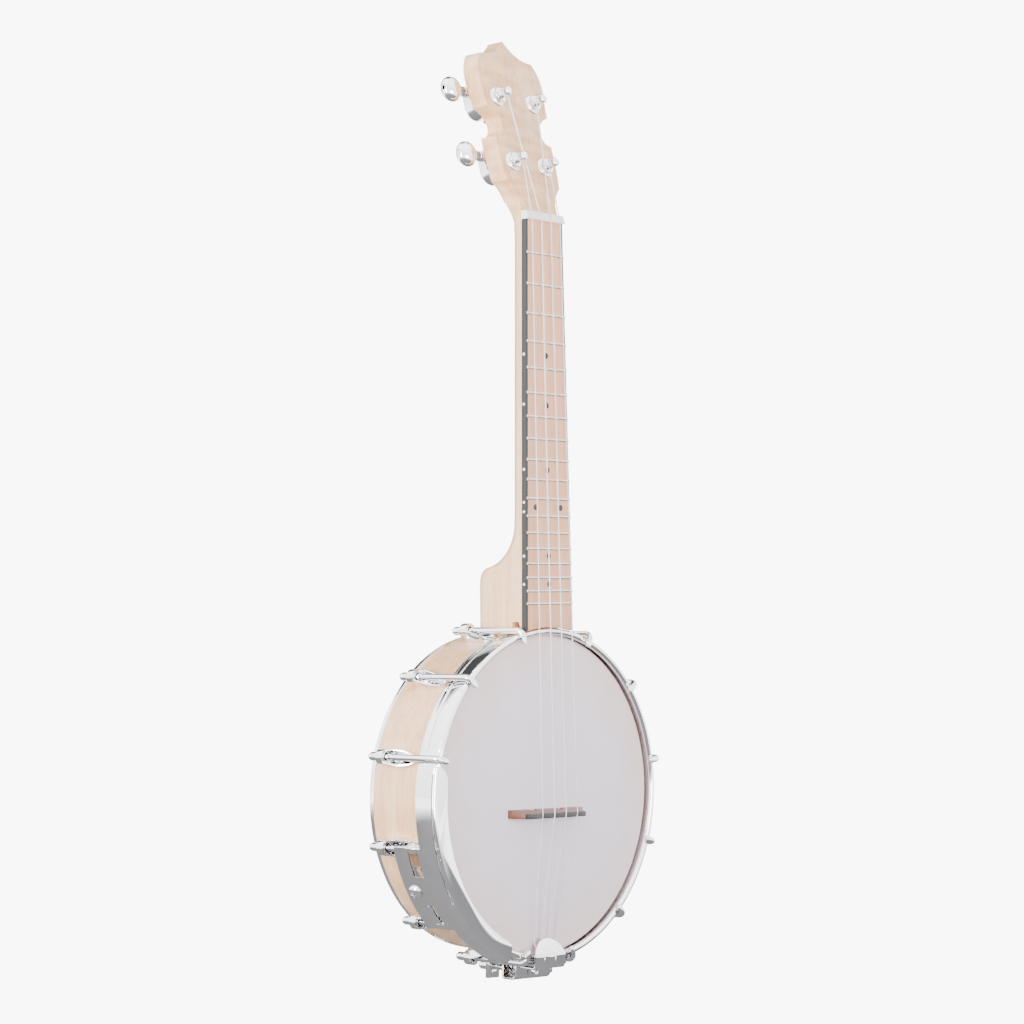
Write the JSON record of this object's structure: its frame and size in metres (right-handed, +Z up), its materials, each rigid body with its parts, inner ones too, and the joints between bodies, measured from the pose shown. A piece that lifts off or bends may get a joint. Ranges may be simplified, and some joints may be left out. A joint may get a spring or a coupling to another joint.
{
  "type": "banjo ukulele",
  "caption": "Concert banjo ukulele with a chromed drum pot, bracket hooks, an armrest, a tailpiece, a fretted maple neck and worm-geared tuning machines.",
  "frame": {"origin": "middle of the nut's fret-side edge, on the playing surface of the fretboard, where the neck is held under the headstock", "axes": "+Z up the neck towards the headstock's tip, -Y out of the drum head towards the player's picking hand, +X to the right seen from the front"},
  "size_m": [0.2229, 0.0695, 0.6103],
  "materials": {
    "maple": "satin",
    "fretboard_maple": "satin",
    "black_binding": "gloss",
    "nickel_silver": "polished",
    "black_inlay": "satin",
    "white_inlay": "satin",
    "bone_white": "satin",
    "nylon": "satin",
    "bridge_wood": "satin",
    "ebony": "satin",
    "brass": "polished",
    "steel": "satin",
    "head_skin": "satin",
    "hoop_aluminium": "satin",
    "chrome": "polished"
  },
  "bodies": {
    "instrument": {"neck": "maple", "fretboard": "fretboard_maple", "fretboard_binding": "black_binding", "frets": "nickel_silver", "position_dots": "black_inlay", "side_dots": "white_inlay", "nut": "bone_white", "tuner_barrel_nuts": "chrome", "tuner_washers": "chrome", "tuner_screws": "chrome", "string_1": "nylon", "string_2": "nylon", "string_3": "nylon", "string_4": "nylon", "bridge_body": "bridge_wood", "bridge_cap": "ebony", "rim": "maple", "tone_ring": "brass", "back_ring": "chrome", "drum_head": "head_skin", "head_collar": "head_skin", "flesh_hoop": "hoop_aluminium", "tension_hoop": "chrome", "bracket_shoes": "chrome", "bracket_bolts": "chrome", "hooks": "chrome", "hook_nuts": "chrome", "tailpiece_cover": "chrome", "tailpiece_base": "chrome", "cover_screws": "chrome", "tailpiece_hanger": "chrome", "tailpiece_bolt": "chrome", "armrest": "chrome", "armrest_clamp": "chrome", "coordinator_rod": "chrome", "rod_nuts": "chrome", "tuner_1_housing": "chrome", "tuner_2_housing": "chrome", "tuner_3_housing": "chrome", "tuner_4_housing": "chrome"},
    "tuner_1_knob": {"tuner_1_worm": "steel", "tuner_1_button": "chrome", "tuner_1_button_screw": "chrome"},
    "tuner_1_capstan": {"tuner_1_wheel": "brass", "tuner_1_post": "chrome"},
    "tuner_2_knob": {"tuner_2_worm": "steel", "tuner_2_button": "chrome", "tuner_2_button_screw": "chrome"},
    "tuner_2_capstan": {"tuner_2_wheel": "brass", "tuner_2_post": "chrome"},
    "tuner_3_knob": {"tuner_3_worm": "steel", "tuner_3_button": "chrome", "tuner_3_button_screw": "chrome"},
    "tuner_3_capstan": {"tuner_3_wheel": "brass", "tuner_3_post": "chrome"},
    "tuner_4_knob": {"tuner_4_worm": "steel", "tuner_4_button": "chrome", "tuner_4_button_screw": "chrome"},
    "tuner_4_capstan": {"tuner_4_wheel": "brass", "tuner_4_post": "chrome"}
  },
  "joints": [
    {"name": "tuner_1_button_turn", "type": "hinge", "parent": "instrument", "child": "tuner_1_knob", "pos_m": [-0.0153, 0.03253, 0.04331], "axis": [1, 0, 0], "continuous": true},
    {"name": "tuner_1_post_turn", "type": "hinge", "parent": "instrument", "child": "tuner_1_capstan", "pos_m": [-0.0153, 0.01262, 0.0387], "axis": [0, -0.9675, 0.2529], "continuous": true},
    {"name": "tuner_2_button_turn", "type": "hinge", "parent": "instrument", "child": "tuner_2_knob", "pos_m": [-0.017, 0.04391, 0.08685], "axis": [1, 0, 0], "continuous": true},
    {"name": "tuner_2_post_turn", "type": "hinge", "parent": "instrument", "child": "tuner_2_capstan", "pos_m": [-0.017, 0.024, 0.08224], "axis": [0, -0.9675, 0.2529], "continuous": true},
    {"name": "tuner_3_button_turn", "type": "hinge", "parent": "instrument", "child": "tuner_3_knob", "pos_m": [0.017, 0.04391, 0.08685], "axis": [1, 0, 0], "continuous": true},
    {"name": "tuner_3_post_turn", "type": "hinge", "parent": "instrument", "child": "tuner_3_capstan", "pos_m": [0.017, 0.024, 0.08224], "axis": [0, -0.9675, 0.2529], "continuous": true},
    {"name": "tuner_4_button_turn", "type": "hinge", "parent": "instrument", "child": "tuner_4_knob", "pos_m": [0.0153, 0.03253, 0.04331], "axis": [1, 0, 0], "continuous": true},
    {"name": "tuner_4_post_turn", "type": "hinge", "parent": "instrument", "child": "tuner_4_capstan", "pos_m": [0.0153, 0.01262, 0.0387], "axis": [0, -0.9675, 0.2529], "continuous": true}
  ],
  "couplings": [
    {"joint": "tuner_1_post_turn", "follows": "tuner_1_button_turn", "ratio": 0.066667},
    {"joint": "tuner_2_post_turn", "follows": "tuner_2_button_turn", "ratio": 0.066667},
    {"joint": "tuner_3_post_turn", "follows": "tuner_3_button_turn", "ratio": 0.066667},
    {"joint": "tuner_4_post_turn", "follows": "tuner_4_button_turn", "ratio": 0.066667}
  ]
}
